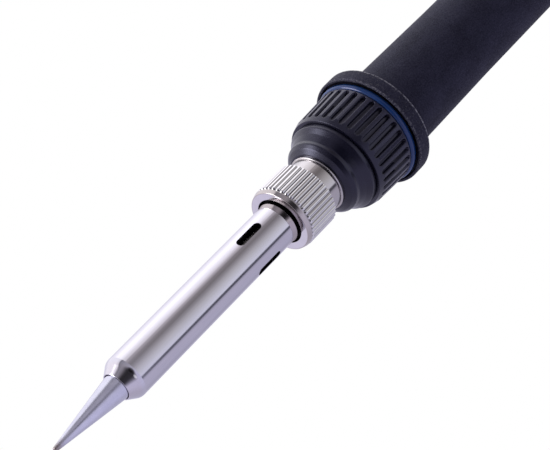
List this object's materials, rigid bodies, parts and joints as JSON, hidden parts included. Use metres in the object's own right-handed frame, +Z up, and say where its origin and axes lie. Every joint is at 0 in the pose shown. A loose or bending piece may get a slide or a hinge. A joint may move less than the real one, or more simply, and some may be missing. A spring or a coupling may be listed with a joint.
{
  "type": "soldering iron",
  "caption": "Slim electric soldering iron handpiece: conical tip in a slotted steel tube, knurled nut, ribbed nipple with a blue ring, and a rubber grip with a finger guard.",
  "frame": {"origin": "on the iron's axis, in the straight stretch of the rubber grip", "axes": "+X along the iron's axis towards the tip, +Z up"},
  "size_m": [0.1903, 0.0226, 0.0227],
  "materials": {
    "tip_plating": "satin plated",
    "stainless_tube": "satin, fine lengthwise grain",
    "nickel_plate": "satin nickel plate",
    "nipple_plastic": "semi-gloss moulded",
    "blue_plastic": "gloss",
    "handle_plastic": "fine moulded texture",
    "grip_rubber": "matt, finely speckled",
    "heater_ceramic": "fired, unglazed",
    "spring_steel": "bright drawn",
    "lead_wire": "tinned",
    "sleeving_white": "woven glass look",
    "sleeving_red": "matt",
    "board_laminate": "fibreglass laminate",
    "copper": "bare copper",
    "tinned_brass": "tinned",
    "solder": "dull solder"
  },
  "bodies": {
    "handle": {"handle_tube": "handle_plastic", "grip_sleeve": "grip_rubber", "rear_end_cap": "handle_plastic"},
    "element": {"heater_rod": "heater_ceramic", "heater_collar": "heater_ceramic", "d_sleeve": "heater_ceramic", "grounding_spring": "spring_steel", "heater_leads": "lead_wire", "sensor_leads": "lead_wire", "heater_lead_sleeves": "sleeving_white", "sensor_lead_sleeves": "sleeving_red", "ground_wire": "lead_wire", "terminal_board": "board_laminate", "board_tracks": "copper", "board_terminals": "tinned_brass", "solder_joints": "solder"},
    "ring": {"blue_ring": "blue_plastic"},
    "nipple": {"nipple": "nipple_plastic", "threaded_ferrule": "nickel_plate"},
    "tip": {"soldering_tip": "tip_plating"},
    "enclosure": {"tip_enclosure": "stainless_tube"},
    "nut": {"retaining_nut": "nickel_plate"}
  },
  "joints": [
    {"name": "element_draw", "type": "slide", "parent": "handle", "child": "element", "axis": [1, 0, 0], "range_m": [0, 0.07]},
    {"name": "nipple_travel", "type": "slide", "parent": "element", "child": "ring", "axis": [1, 0, 0], "range_m": [0, 0.00675]},
    {"name": "nipple_turn", "type": "hinge", "parent": "ring", "child": "nipple", "pos_m": [0.04, 0, 0], "axis": [1, 0, 0], "range_deg": [0, 1625]},
    {"name": "tip_draw", "type": "slide", "parent": "nipple", "child": "tip", "axis": [1, 0, 0], "range_m": [0, 0.042]},
    {"name": "enclosure_travel", "type": "slide", "parent": "tip", "child": "enclosure", "axis": [1, 0, 0], "range_m": [0, 0.007]},
    {"name": "nut_turn", "type": "hinge", "parent": "enclosure", "child": "nut", "pos_m": [0.055, 0, 0], "axis": [1, 0, 0], "range_deg": [0, 2525]}
  ],
  "couplings": [
    {"joint": "nipple_turn", "follows": "nipple_travel", "rad_per_m": 4188.8},
    {"joint": "nut_turn", "follows": "enclosure_travel", "rad_per_m": 6283.2}
  ]
}
